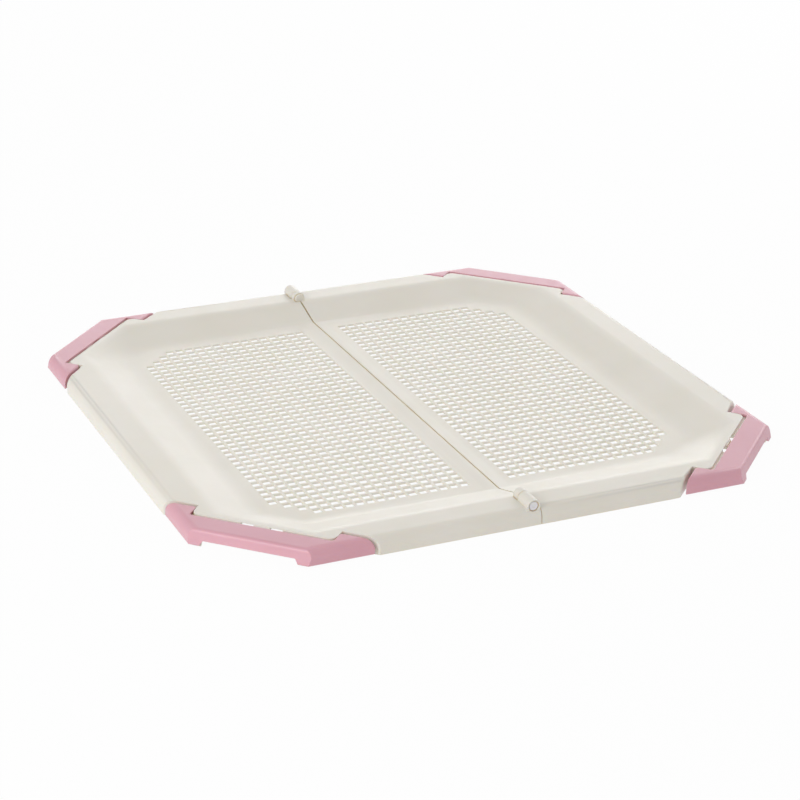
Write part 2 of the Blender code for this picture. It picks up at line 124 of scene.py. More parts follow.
class Solid:
    """A closed body in the making, which other bodies cut, join or bound."""

    def __init__(self, name: str, bm: bmesh.types.BMesh, placement: Matrix | None = None) -> None:
        """Take over a bmesh.

        Args:
            name: what the body is called while it is made.
            bm: its closed mesh, which is freed.
            placement: where the body goes, or None to leave it.
        """
        if placement is not None:
            bmesh.ops.transform(bm, matrix=placement, verts=bm.verts)
        bmesh.ops.recalc_face_normals(bm, faces=bm.faces)
        mesh = bpy.data.meshes.new(name)
        bm.to_mesh(mesh)
        bm.free()
        self.item = put(name, mesh)

    def _combine(self, operation: str, tools: tuple["Solid", ...]) -> "Solid":
        """Apply a Boolean with each tool in turn, and use the tools up.

        Args:
            operation: DIFFERENCE, UNION or INTERSECT.
            tools: the other bodies.

        Returns:
            The body itself.
        """
        for tool in tools:
            modifier = self.item.modifiers.new(tool.item.name, "BOOLEAN")
            modifier.operation = operation
            modifier.solver = "EXACT"
            modifier.object = tool.item
            graph = bpy.context.evaluated_depsgraph_get()
            result = bpy.data.meshes.new_from_object(self.item.evaluated_get(graph))
            self.item.modifiers.clear()
            old = self.item.data
            self.item.data = result
            bpy.data.meshes.remove(old)
            tool.discard()
        return self

    def cut(self, *tools: "Solid") -> "Solid":
        """Cut each tool from the body, and return the body."""
        return self._combine("DIFFERENCE", tools)

    def join(self, *tools: "Solid") -> "Solid":
        """Join each tool to the body, and return the body."""
        return self._combine("UNION", tools)

    def keep(self, *tools: "Solid") -> "Solid":
        """Keep only what the body shares with each tool, and return the body."""
        return self._combine("INTERSECT", tools)

    def soften(self, pick: Callable[[Vector], bool], radius: float, steps: int) -> "Solid":
        """Round the sharp edges whose two ends are both picked.

        Args:
            pick: says whether an end point of an edge is on the line to round.
            radius: radius of the rounding.
            steps: number of facets over the rounding.

        Returns:
            The body itself.
        """
        bm = bmesh.new()
        bm.from_mesh(self.item.data)
        weld(bm)
        edges = [
            edge
            for edge in bm.edges
            if edge.calc_face_angle(0.0) > ROUNDED_ANGLE
            and edge.is_convex
            and all(pick(vert.co) for vert in edge.verts)
        ]
        bmesh.ops.bevel(
            bm, geom=edges, offset=radius, segments=steps, profile=0.5,
            affect="EDGES", material=-1, clamp_overlap=True,
        )
        bm.to_mesh(self.item.data)
        bm.free()
        return self

    def twin(self) -> "Solid":
        """Return a second body of the same shape."""
        bm = bmesh.new()
        bm.from_mesh(self.item.data)
        return Solid(self.item.name + "_twin", bm)

    def discard(self) -> None:
        """Remove the body and its mesh."""
        mesh = self.item.data
        bpy.data.objects.remove(self.item)
        bpy.data.meshes.remove(mesh)

    def take_mesh(self) -> bpy.types.Mesh:
        """Return the body's mesh, welded, and remove its object."""
        mesh = self.item.data
        bpy.data.objects.remove(self.item)
        bm = bmesh.new()
        bm.from_mesh(mesh)
        weld(bm)
        bm.to_mesh(mesh)
        bm.free()
        return mesh


def weld(bm: bmesh.types.BMesh) -> None:
    """Join points that lie on each other and drop the slivers between them."""
    bmesh.ops.remove_doubles(bm, verts=bm.verts, dist=WELD_DISTANCE)
    bmesh.ops.dissolve_degenerate(bm, edges=bm.edges, dist=WELD_DISTANCE)


def turned(degrees: float) -> Matrix:
    """Return a turn about Z by an angle in degrees."""
    return Matrix.Rotation(math.radians(degrees), 4, "Z")


def mirrored(side: int) -> Matrix:
    """Return the matrix that flips the second coordinate for side -1."""
    return Matrix.Diagonal((1, side, 1, 1))


def box(name: str, low: Spot, high: Spot, placement: Matrix | None = None) -> Solid:
    """Make a box between two corners.

    Args:
        name: what it is called while it is used.
        low: lowest corner.
        high: highest corner.
        placement: where it goes.

    Returns:
        The box as a closed body.
    """
    bm = bmesh.new()
    bmesh.ops.create_cube(bm, size=1.0)
    for vert in bm.verts:
        vert.co = [upper if c > 0 else lower for c, lower, upper in zip(vert.co, low, high)]
    return Solid(name, bm, placement)


def rod(
    name: str,
    radius: float,
    start: float,
    end: float,
    centre: Point,
    placement: Matrix | None = None,
    edge: float = 0.0,
    sides: int = ROD_SIDES,
) -> Solid:
    """Make a round rod along Y, with its end edges rounded if asked.

    Args:
        name: what it is called while it is used.
        radius: radius of the rod.
        start: Y of one end.
        end: Y of the other end.
        centre: X and Z of its axis.
        placement: where it goes.
        edge: radius of the rounding at both ends.
        sides: number of facets round it.

    Returns:
        The rod as a closed body.
    """
    bm = bmesh.new()
    bmesh.ops.create_cone(
        bm, cap_ends=True, segments=sides, radius1=radius, radius2=radius, depth=1.0
    )
    for vert in bm.verts:
        vert.co = (centre[0] + vert.co.x, end if vert.co.z > 0 else start, centre[1] + vert.co.y)
    bmesh.ops.recalc_face_normals(bm, faces=bm.faces)
    if edge > 0:
        rims = [item for item in bm.edges if len({vert.co.y for vert in item.verts}) == 1]
        bmesh.ops.bevel(
            bm, geom=rims, offset=edge, segments=ROD_END_STEPS, profile=0.5,
            affect="EDGES", material=-1,
        )
    return Solid(name, bm, placement)


def pull(
    bm: bmesh.types.BMesh, face: bmesh.types.BMFace, leave: bool = False
) -> tuple[bmesh.types.BMFace, list[bmesh.types.BMVert]]:
    """Extrude one face, still in its own place.

    Args:
        bm: the mesh.
        face: the face to extrude.
        leave: whether the face stays behind, as the bottom of a new body.

    Returns:
        The new face and its verts.
    """
    made = bmesh.ops.extrude_face_region(bm, geom=[face])["geom"]
    if not leave:
        bmesh.ops.delete(bm, geom=[face], context="FACES_ONLY")
    new_face = next(item for item in made if isinstance(item, bmesh.types.BMFace))
    return new_face, list(new_face.verts)


def prism(
    name: str, outline: list[Point], low: float, high: float, placement: Matrix | None = None
) -> Solid:
    """Extrude a closed outline drawn in plan between two heights.

    Args:
        name: what it is called while it is used.
        outline: corners of the outline in order.
        low: lower height.
        high: upper height.
        placement: where it goes.

    Returns:
        The prism as a closed body.
    """
    bm = bmesh.new()
    face = bm.faces.new([bm.verts.new((u, v, low)) for u, v in outline])
    raised = pull(bm, face, leave=True)[1]
    bmesh.ops.translate(bm, vec=(0, 0, high - low), verts=raised)
    return Solid(name, bm, placement)


def profile_prism(name: str, outline: list[Point], half_length: float) -> Solid:
    """Extrude an outline drawn in X and Z along Y, to both sides of y = 0.

    Args:
        name: what it is called while it is used.
        outline: corners of the outline in order.
        half_length: how far it runs to each side.

    Returns:
        The prism as a closed body.
    """
    return prism(name, outline, -half_length, half_length, Matrix.Rotation(math.pi / 2, 4, "X"))


def octagon_stack(name: str, rings: list[Ring], placement: Matrix | None = None) -> Solid:
    """Stack level octagons, each with four sides and four corner faces, into one body.

    Args:
        name: what it is called while it is used.
        rings: half width between the sides, distance to the corner faces, and height.
        placement: where it goes.

    Returns:
        The stack as a closed body.
    """

    def place(verts: list[bmesh.types.BMVert], ring: Ring) -> None:
        """Put eight verts on the octagon of one ring."""
        half, corner, height = ring
        near = corner * ROOT_TWO - half
        for vert in verts:
            wide = abs(vert.co.x) > abs(vert.co.y)
            x = math.copysign(half if wide else near, vert.co.x)
            y = math.copysign(near if wide else half, vert.co.y)
            vert.co = (x, y, height)

    bm = bmesh.new()
    start = bmesh.ops.create_circle(
        bm, cap_ends=True, segments=8, radius=1.0, matrix=turned(22.5)
    )["verts"]
    place(start, rings[0])
    top = next(iter(bm.faces))
    for number, ring in enumerate(rings[1:]):
        top, verts = pull(bm, top, leave=number == 0)
        place(verts, ring)
    return Solid(name, bm, placement)


def arc(centre: Point, radius: float, start: float, end: float, steps: int) -> list[Point]:
    """Return points of an arc, from one angle to another in degrees.

    Args:
        centre: middle of the arc.
        radius: its radius.
        start: first angle.
        end: last angle.
        steps: number of facets.

    Returns:
        The points in order.
    """
    points = []
    for step in range(steps + 1):
        angle = math.radians(start + (end - start) * step / steps)
        points.append((centre[0] + radius * math.cos(angle), centre[1] + radius * math.sin(angle)))
    return points


def bend(start: Point, turn: Point, end: Point, steps: int) -> list[Point]:
    """Return points of a soft bend from one point round a turning point to another.

    Args:
        start: where the bend leaves its first straight.
        turn: where the two straights would meet.
        end: where the bend meets its second straight.
        steps: number of facets.

    Returns:
        The points in order, both ends included.
    """
    points = []
    for step in range(steps + 1):
        t = step / steps
        weights = ((1 - t) ** 2, 2 * t * (1 - t), t ** 2)
        points.append(
            tuple(sum(w * p[axis] for w, p in zip(weights, (start, turn, end))) for axis in (0, 1))
        )
    return points


def both_sides(points: list[Point]) -> list[Point]:
    """Return an outline mirrored from its half with a positive second coordinate."""
    return [(u, -v) for u, v in reversed(points)] + points


def show(name: str, mesh: bpy.types.Mesh, material: bpy.types.Material) -> bpy.types.Object:
    """Put a finished mesh in the scene, shaded smooth across its soft edges.

    Args:
        name: the piece's name.
        mesh: its mesh, already in place.
        material: its finish.

    Returns:
        The piece.
    """
    mesh.name = name
    mesh.materials.clear()
    mesh.materials.append(material)
    mesh.shade_smooth()
    mesh.set_sharp_from_angle(angle=SHOWN_ANGLE)
    piece = put(name, mesh)
    weighted = piece.modifiers.new("flat_faces_stay_flat", "WEIGHTED_NORMAL")
    weighted.keep_sharp = True
    weighted.weight = FLAT_WEIGHT
    return piece


@dataclass(frozen=True)
class Place:
    """Where one copy of a moulding goes, what it rides on and which solid it stands for."""

    name: str
    turn: float
    body: str
    node: str


def show_copies(
    mesh: bpy.types.Mesh, material: bpy.types.Material, places: list[Place]
) -> list[bpy.types.Object]:
    """Show one moulding at each of its places.

    Args:
        mesh: the moulding, which is used up.
        material: its finish.
        places: where its copies go.

    Returns:
        The pieces in order.
    """
    pieces = []
    for place in places:
        own = mesh.copy()
        own.transform(turned(place.turn))
        piece = show(place.name, own, material)
        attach(piece, place.body)
        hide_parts(place.node)
        pieces.append(piece)
    bpy.data.meshes.remove(mesh)
    return pieces


# Finishes


def linear(hex_colour: str) -> tuple[float, float, float, float]:
    """Turn an sRGB hex colour to linear RGBA."""
    shares = (int(hex_colour[i : i + 2], 16) / 255 for i in (1, 3, 5))
    values = (c / 12.92 if c <= 0.04045 else ((c + 0.055) / 1.055) ** 2.4 for c in shares)
    return (*values, 1.0)


def add_node(tree: bpy.types.NodeTree, kind: str, inputs: dict, **settings) -> bpy.types.Node:
    """Add a node with its settings, values and links.

    Args:
        tree: node tree that gets the node.
        kind: type of the node.
        inputs: for each input's name or place, a value or the output socket that feeds it.
        settings: attributes of the node.

    Returns:
        The node.
    """
    node = tree.nodes.new(kind)
    for key, value in settings.items():
        setattr(node, key, value)
    for key, value in inputs.items():
        if isinstance(value, bpy.types.NodeSocket):
            tree.links.new(value, node.inputs[key])
        else:
            node.inputs[key].default_value = value
    return node


@dataclass(frozen=True)
class MouldedPlastic:
    """Injection-moulded plastic from a spark-eroded mould, with a satin face.

    The eye gets a soft broad sheen, a fine even grain that breaks it up, faint clouds of
    colour where the melt cooled unevenly, and slightly paler edges where hands rub it. Light
    soaks a few millimetres into the plastic. The gap colour is painted shade and painted
    bounced light, mixed in wherever occlusion finds a gap or narrow hollow close by.
    """

    name: str
    colour: str
    cloud: str
    edge: str
    # Colour painted into gaps and narrow hollows as painted shade and bounced light.
    gap: str
    roughness: float
    grain_mm: float = 0.55
    grain_depth_mm: float = 0.018
    cloud_mm: float = 70.0
    scuff_mm: float = 9.0
    soft_edge_mm: float = 0.7
    painted_gap_reach_mm: float = 3.0
    soak_share: float = 0.25
    soak_mm: float = 3.0
    soak_by_colour: tuple[float, float, float] = (1.0, 0.7, 0.4)
    refraction: float = 1.49
    worn_facing: tuple[float, float] = (0.98, 0.80)
    worn_share: float = 0.55
    painted_gap_occlusion_range: tuple[float, float] = (0.60, 0.20)
    gloss_spread: tuple[float, float] = (-0.05, 0.06)

    def material(self) -> bpy.types.Material:
        """Return the finish as a node material."""
        made = bpy.data.materials.new(self.name)
        made.use_nodes = True
        tree = made.node_tree
        shader = tree.nodes["Principled BSDF"]
        place = add_node(tree, "ShaderNodeTexCoord", {}).outputs["Object"]
        cloud = add_node(
            tree, "ShaderNodeTexNoise",
            {"Vector": place, "Scale": 1000 / self.cloud_mm, "Detail": 3.0, "Roughness": 0.5},
        )
        spread = add_node(
            tree, "ShaderNodeMapRange",
            {"Value": cloud.outputs["Fac"], "From Min": 0.35, "From Max": 0.65},
        )
        tint = add_node(
            tree, "ShaderNodeMixRGB",
            {"Fac": spread.outputs["Result"], "Color1": linear(self.colour),
             "Color2": linear(self.cloud)},
        )
        rounded = add_node(
            tree, "ShaderNodeBevel", {"Radius": self.soft_edge_mm / 1000}, samples=6
        )
        true_normal = add_node(tree, "ShaderNodeNewGeometry", {}).outputs["Normal"]
        facing = add_node(
            tree, "ShaderNodeVectorMath",
            {0: rounded.outputs["Normal"], 1: true_normal}, operation="DOT_PRODUCT",
        )
        worn = add_node(
            tree, "ShaderNodeMapRange",
            {"Value": facing.outputs["Value"], "From Min": self.worn_facing[0],
             "From Max": self.worn_facing[1], "To Max": self.worn_share},
        )
        colour = add_node(
            tree, "ShaderNodeMixRGB",
            {"Fac": worn.outputs["Result"], "Color1": tint.outputs["Color"],
             "Color2": linear(self.edge)},
        )
        # Painted shade and painted bounced light: the gap colour goes in where occlusion finds a
        # gap or hollow within reach.
        gap_occlusion = add_node(
            tree, "ShaderNodeAmbientOcclusion", {"Distance": self.painted_gap_reach_mm / 1000}, samples=6
        )
        deep = add_node(
            tree, "ShaderNodeMapRange",
            {"Value": gap_occlusion.outputs["AO"], "From Min": self.painted_gap_occlusion_range[0],
             "From Max": self.painted_gap_occlusion_range[1]},
        )
        colour_with_painted_gaps = add_node(
            tree, "ShaderNodeMixRGB",
            {"Fac": deep.outputs["Result"], "Color1": colour.outputs["Color"],
             "Color2": linear(self.gap)},
        )
        # The real grain is about 0.05 mm, so it is drawn coarser to show in the render.
        grain = add_node(
            tree, "ShaderNodeTexNoise",
            {"Vector": place, "Scale": 1000 / self.grain_mm, "Detail": 2.0, "Roughness": 0.6},
        )
        bump = add_node(
            tree, "ShaderNodeBump",
            {"Height": grain.outputs["Fac"], "Normal": rounded.outputs["Normal"],
             "Strength": 0.5, "Distance": self.grain_depth_mm / 1000},
        )
        scuff = add_node(
            tree, "ShaderNodeTexNoise",
            {"Vector": place, "Scale": 1000 / self.scuff_mm, "Detail": 5.0, "Roughness": 0.65},
        )
        gloss = add_node(
            tree, "ShaderNodeMapRange",
            {"Value": scuff.outputs["Fac"], "From Min": 0.3, "From Max": 0.7,
             "To Min": self.roughness + self.gloss_spread[0],
             "To Max": self.roughness + self.gloss_spread[1]},
        )
        tree.links.new(colour_with_painted_gaps.outputs["Color"], shader.inputs["Base Color"])
        tree.links.new(gloss.outputs["Result"], shader.inputs["Roughness"])
        tree.links.new(bump.outputs["Normal"], shader.inputs["Normal"])
        shader.inputs["IOR"].default_value = self.refraction
        shader.inputs["Subsurface Weight"].default_value = self.soak_share
        shader.inputs["Subsurface Radius"].default_value = self.soak_by_colour
        shader.inputs["Subsurface Scale"].default_value = self.soak_mm / 1000
        return made


# Polypropylene from a satin mould: warm ivory, with a yellower tan painted into slots and gaps as
# bounced light.
TRAY_IVORY = MouldedPlastic(
    "ivory_polypropylene_moulded", "#E8E4DB", "#E5E1D6", "#F0EDE6", "#FAE6BA", 0.35
)
# The same plastic in a dusty pink, with red brown painted shade in its gaps.
CLIP_PINK = MouldedPlastic(
    "pink_polypropylene_moulded", "#DCA7B3", "#D9A3AF", "#EBC0C9", "#A2605F", 0.33
)
# Acetal, moulded: harder, cooler and a little glossier than the tray round it. Its gap colour is a
# grey painted shade in the head's recess.
PIN_PALE = MouldedPlastic(
    "pale_acetal_moulded", "#F0ECEE", "#ECE7EA", "#F6F4F6", "#CFC4B4", 0.32
)


# Pieces


@dataclass(frozen=True)
class Outline:
    """Outer form that the tray and its corner clips share."""

    side: float = 0.600
    corner_leg: float = 0.080
    corner_lean: float = 0.0050
    height: float = 0.0165
    edge_radius: float = 0.010
    corner_edge_radius: float = 0.003
    overrun: float = 0.004
    edge_steps: int = 14

    @property
    def half(self) -> float:
        """Half the tray's side."""
        return self.side / 2

    @property
    def corner_face(self) -> float:
        """Distance from the middle to a corner face, at the ground."""
        return (self.side - self.corner_leg) / ROOT_TWO

    @property
    def corner_half(self) -> float:
        """Half the width of a corner face."""
        return self.corner_leg / ROOT_TWO

    def form(self, name: str, inset: float, top: float, placement: Matrix | None = None) -> Solid:
        """Make the outer form, set in by a wall and cut off at a height.

        Args:
            name: what it is called while it is used.
            inset: how far it is set in.
            top: height of its flat top.
            placement: where it goes.

        Returns:
            The form as a closed body.
        """
        side_radius = max(self.edge_radius - inset, 0.0)
        corner_radius = max(self.corner_edge_radius - inset, 0.0)
        low = -self.overrun if inset > 0 else 0.0

        def rounding(radius: float, height: float) -> float:
            """How far a rounded top edge draws in at a height."""
            rise = max(height - (top - radius), 0.0)
            return radius - math.sqrt(max(radius ** 2 - rise ** 2, 0.0))

        heights = {low, top}
        for radius in (side_radius, corner_radius):
            for step in range(self.edge_steps):
                heights.add(top - radius + radius * math.sin(math.pi / 2 * step / self.edge_steps))
        levels = [low]
        for height in sorted(heights):
            if height - levels[-1] > RING_GAP and (height == top or top - height > RING_GAP):
                levels.append(height)
        rings = [
            (
                self.half - inset - rounding(side_radius, z),
                self.corner_face - inset - self.corner_lean * z / self.height
                - rounding(corner_radius, z),
                z,
            )
            for z in levels
        ]
        return octagon_stack(name, rings, placement)


@dataclass(frozen=True)
class CornerFit:
    """Sizes that a tray corner and its clip share, in the corner's own frame.

    The first coordinate runs outward from the middle of the tray, the second across.
    """

    clip_depth: float = 0.0283
    clip_set_back: float = 0.0008
    clip_plate: float = 0.0026
    slot_from_middle: float = 0.008
    slot_width: float = 0.012
    pivot_depth: float = 0.0397
    pivot_reach: float = 0.0129
    knuckle_radius: float = 0.0071
    swing_radius: float = 0.0083
    stub_radius: float = 0.0022
    stub_length: float = 0.004
    grip_half_width: float = 0.044
    grip_height: float = 0.0066
    running_gap: float = 0.0003

    def pivot(self, outline: Outline) -> float:
        """Distance from the middle of the tray to the clip's pivot."""
        return outline.corner_face - self.pivot_depth

    def pivot_height(self, outline: Outline) -> float:
        """Height of the clip's pivot."""
        return outline.height - self.knuckle_radius

    def clip_edge(self, outline: Outline) -> float:
        """Distance from the middle of the tray to the clip's inner edge."""
        return outline.corner_face - self.clip_depth + self.clip_set_back

    def cheek(self, outline: Outline) -> float:
        """Distance from the corner's middle to a clip's inner cheek."""
        return outline.corner_half + self.pivot_reach


@dataclass(frozen=True)
class TrayHalf:
    """One half of the tray: rim, sloping side, open mesh floor, hinge knuckles.

    It is made as the left half, and the right half is the same shape turned round.
    """

    outline: Outline = field(default_factory=Outline)
    fit: CornerFit = field(default_factory=CornerFit)
    wall: float = 0.0022
    rim_width: float = 0.035
    corner_rim_width: float = 0.0389
    slope_run: float = 0.040
    corner_slope_run: float = 0.0339
    floor_top: float = 0.0042
    floor_thickness: float = 0.0020
    floor_bend: float = 0.009
    rim_bend: float = 0.006
    mesh_pitch: float = 0.0105
    mesh_bar: float = 0.0028
    mesh_columns: int = 18
    mesh_rows: int = 40
    mesh_from_seam: float = 0.02085
    mesh_corner_steps: int = 3
    mesh_edge: float = 0.0005
    seam_gap: float = 0.0018
    ridge_height: float = 0.0010
    ridge_width: float = 0.0010
    ridge_foot: float = 0.0120
    ridge_bend: float = 0.0025
    seam_edge: float = 0.0012
    hinge_rise: float = 0.0013
    hinge_inset: float = 0.001
    ring_length: float = 0.003
    ring_radius: float = 0.0055
    barrel_length: float = 0.0065
    barrel_radius: float = 0.0065
    lug_shoulder: float = 0.0002
    lug_setback: float = 0.003
    knuckle_gap: float = 0.0007
    knuckle_edge: float = 0.0005
    hinge_wall: float = 0.0022
    pin_bore_radius: float = 0.0025
    pin_blind_end: float = 0.0012
    head_room_radius: float = 0.0050
    head_room_depth: float = 0.0020
    skirt_recess: float = 0.0040
    step_gap: float = 0.0032
    corner_fillet: float = 0.008
    fillet_overrun: float = 0.0001
    ledge_overlap: float = 0.0012
    keeper_depth: float = 0.0012
    keeper_height: float = 0.0018
    slot_undercut: float = 0.004
    slot_depth: float = 0.008
    slot_roof: float = 0.0004
    grip_clearance: float = 0.0010
    grip_side: float = 0.003
    heel_gap: float = 0.0003
    pocket_gap: float = 0.0014
    socket_wall: float = 0.0022
    socket_end: float = 0.0018
    collar_radius: float = 0.0024
    step_edge: float = 0.0009
    ridge_steps: int = 4

    @property
    def hinge_height(self) -> float:
        """Height of the fold axis."""
        return self.outline.height + self.hinge_rise

    @property
    def ring_start(self) -> float:
        """Distance from the middle to the inner end of a hinge."""
        return self.outline.half - self.rim_width + self.hinge_inset

    @property
    def ring_end(self) -> float:
        """Distance from the middle to the outer end of the hinge's inner ring."""
        return self.ring_start + self.ring_length

    @property
    def barrel_start(self) -> float:
        """Distance from the middle to the inner end of the barrel."""
        return self.ring_end + self.knuckle_gap

    @property
    def barrel_end(self) -> float:
        """Distance from the middle to the outer end of the barrel."""
        return self.barrel_start + self.barrel_length

    @property
    def lug_start(self) -> float:
        """Distance from the middle to the inner end of the lug."""
        return self.barrel_end + self.knuckle_gap

    @property
    def lug_end(self) -> float:
        """Distance from the middle to the outer end of the lug."""
        return self.outline.half - self.lug_setback

    @property
    def step_face(self) -> float:
        """Distance from the middle to the step that a clip's inner edge faces."""
        return self.fit.clip_edge(self.outline) - self.step_gap

    @property
    def pocket_side(self) -> float:
        """Distance from the corner's middle to the side of a knuckle pocket."""
        return self.fit.cheek(self.outline) - self.fit.running_gap

    @property
    def ledge_top(self) -> float:
        """Height of the ledge under a clip."""
        return self.outline.height - self.fit.clip_plate - self.fit.running_gap

    @property
    def far(self) -> float:
        """A length that reaches past the tray from anywhere on it."""
        return self.outline.side

    def basin(self, name: str, drop: float) -> Solid:
        """Make the sunk space above the floor, with softly bent creases.

        Args:
            name: what it is called while it is used.
            drop: how far it is lowered, for the underside.

        Returns:
            The space as a closed body.
        """
        floor_half = self.outline.half - self.rim_width - self.slope_run
        floor_corner = self.outline.corner_face - self.corner_rim_width - self.corner_slope_run
        fall = (self.outline.height - self.floor_top) / self.slope_run
        high = self.outline.height
        low_bend = bend(
            (-self.floor_bend, self.floor_top), (0, self.floor_top),
            (self.floor_bend, self.floor_top + fall * self.floor_bend), BEND_STEPS,
        )
        high_bend = bend(
            (self.slope_run - self.rim_bend, high - fall * self.rim_bend), (self.slope_run, high),
            (self.slope_run + self.rim_bend, high + HAIR), BEND_STEPS,
        )
        points = low_bend + high_bend
        points.append((points[-1][0], high + self.outline.overrun))
        share = self.corner_slope_run / self.slope_run
        rings = [(floor_half + out, floor_corner + out * share, z - drop) for out, z in points]
        return octagon_stack(name, rings)

    def ridge(self) -> Solid:
        """Make the low swell of the floor beside the seam."""
        inner = self.seam_gap / 2 + self.ridge_width
        top = self.floor_top + self.ridge_height
        deep = -self.outline.overrun
        foot = -inner - self.ridge_foot
        soft = self.ridge_bend
        drop = self.ridge_height * soft / self.ridge_foot
        points = [(inner, deep), (inner, top)]
        points += bend(
            (-inner + soft / 2, top), (-inner, top), (-inner - soft, top - drop), self.ridge_steps
        )
        points += bend(
            (foot + soft, self.floor_top + drop), (foot, self.floor_top),
            (foot - soft, self.floor_top - HAIR), self.ridge_steps,
        )
        points.append((foot - soft, deep))
        return profile_prism("ridge", points, self.far)

    def recess_outline(self, grow: float) -> list[Point]:
        """Return the plan of a clip's recess in a corner frame, grown by a wall."""
        centre = (
            self.step_face - self.corner_fillet,
            self.pocket_side + self.fillet_overrun - self.corner_fillet,
        )
        points = arc(centre, self.corner_fillet - grow, 0, 90, CORNER_STEPS)
        points += [(centre[0], self.far), (self.far, self.far)]
        return both_sides(points)

    def pocket(self, name: str, grow: float, side: int, turn: Matrix) -> Solid:
        """Make the space for one knuckle of a clip, open to the ground.

        Args:
            name: what it is called while it is used.
            grow: how much larger it is all round.
            side: 1 or -1, the side of the corner that it is on.
            turn: turn of the corner.

        Returns:
            The space as a closed body.
        """
        pivot = self.fit.pivot(self.outline)
        back = pivot - self.fit.swing_radius - self.heel_gap - grow
        front = pivot + self.fit.swing_radius + self.pocket_gap + grow
        low = (back, self.pocket_side - grow, -self.outline.overrun * 3)
        high = (front, self.far, self.outline.height + self.outline.overrun)
        return box(name, low, high, turn @ mirrored(side))

    def socket(self, name: str, radius: float, depth: float, side: int, turn: Matrix) -> Solid:
        """Make a round bore or boss for one stub of a clip, in the side of its pocket.

        Args:
            name: what it is called while it is used.
            radius: radius of the bore or boss.
            depth: how deep it goes.
            side: 1 or -1, the side of the corner that it is on.
            turn: turn of the corner.

        Returns:
            The bore or boss as a closed body.
        """
        start = (self.pocket_side + self.outline.overrun) * side
        end = (self.pocket_side - depth) * side
        centre = (self.fit.pivot(self.outline), self.fit.pivot_height(self.outline))
        return rod(name, radius, start, end, centre, turn, sides=STUB_SIDES)

    def half_plan(self) -> list[Point]:
        """Return the plan of the left half, with its tongue at the front."""
        seam = -self.seam_gap / 2
        tongue = self.barrel_radius + self.lug_shoulder
        notch = -tongue - self.knuckle_gap
        far = self.far
        return [
            (-far, -far), (tongue, -far), (tongue, -self.lug_start), (seam, -self.lug_start),
            (seam, self.barrel_end), (notch, self.barrel_end), (notch, far), (-far, far),
        ]

    def hollow(self, turns: list[Matrix]) -> Solid:
        """Make the space under the left half, inside its walls.

        Args:
            turns: turns of the half's two corners.

        Returns:
            The space as a closed body.
        """
        outline = self.outline
        deep = -outline.overrun * 2
        high = outline.height + outline.overrun
        hollow = outline.form("hollow", self.wall, outline.height - self.wall)
        low_hollow = outline.form(
            "low_hollow", self.skirt_recess + self.wall, self.ledge_top - self.wall
        )
        for turn in turns:
            hollow.cut(prism("corner_wall", self.recess_outline(self.wall), deep, high, turn))
        for turn in turns:
            low = (self.step_face - self.wall - self.ledge_overlap, -self.far, deep)
            room = box("corner_room", low, (self.far, self.far, high), turn)
            hollow.join(low_hollow.twin().keep(room))
        low_hollow.discard()
        seam = -self.seam_gap / 2 - self.wall
        hinge = -self.barrel_radius - self.lug_shoulder - self.knuckle_gap - self.hinge_wall
        start = self.ring_start - self.hinge_wall
        far = self.far
        plan = [
            (-far, -far), (hinge, -far), (hinge, -start), (seam, -start),
            (seam, start), (hinge, start), (hinge, far), (-far, far),
        ]
        hollow.keep(prism("hollow_plan", plan, deep, high))
        hollow.cut(self.basin("underside", self.floor_thickness))
        for turn in turns:
            for side in (-1, 1):
                hollow.cut(self.pocket("pocket_wall", self.wall, side, turn))
                radius = self.fit.stub_radius + self.fit.running_gap + self.socket_wall
                depth = self.fit.stub_length + self.socket_end
                hollow.cut(self.socket("boss", radius, depth, side, turn))
        return hollow

    def mesh_openings(self) -> Solid:
        """Make the square openings of the floor, flared at their top edges."""
        opening = self.mesh_pitch - self.mesh_bar
        edge = self.mesh_edge
        one = bmesh.new()
        size = Matrix.Diagonal((opening, opening, self.floor_top - edge + self.outline.overrun, 1))
        lift = Matrix.Translation((0, 0, (self.floor_top - edge - self.outline.overrun) / 2))
        bmesh.ops.create_cube(one, size=1.0, matrix=lift @ size)
        top = max(one.faces, key=lambda face: face.calc_center_median().z)
        for grow, rise in ((1 + 2 * edge / opening, edge), (1.0, self.outline.overrun)):
            top, verts = pull(one, top)
            bmesh.ops.scale(one, vec=(grow, grow, 1), verts=verts)
            bmesh.ops.translate(one, vec=(0, 0, rise), verts=verts)
        template = bpy.data.meshes.new("one_opening")
        one.to_mesh(template)
        one.free()
        bm = bmesh.new()
        for column in range(self.mesh_columns):
            x = -self.mesh_from_seam - opening / 2 - column * self.mesh_pitch
            for row in range(self.mesh_rows):
                y = (row - (self.mesh_rows - 1) / 2) * self.mesh_pitch
                from_corner = self.mesh_columns - 1 - column + min(row, self.mesh_rows - 1 - row)
                if from_corner < self.mesh_corner_steps:
                    continue
                count = len(bm.verts)
                bm.from_mesh(template)
                bm.verts.ensure_lookup_table()
                bmesh.ops.translate(bm, vec=(x, y, 0), verts=bm.verts[count:])
        bpy.data.meshes.remove(template)
        return Solid("mesh_openings", bm)

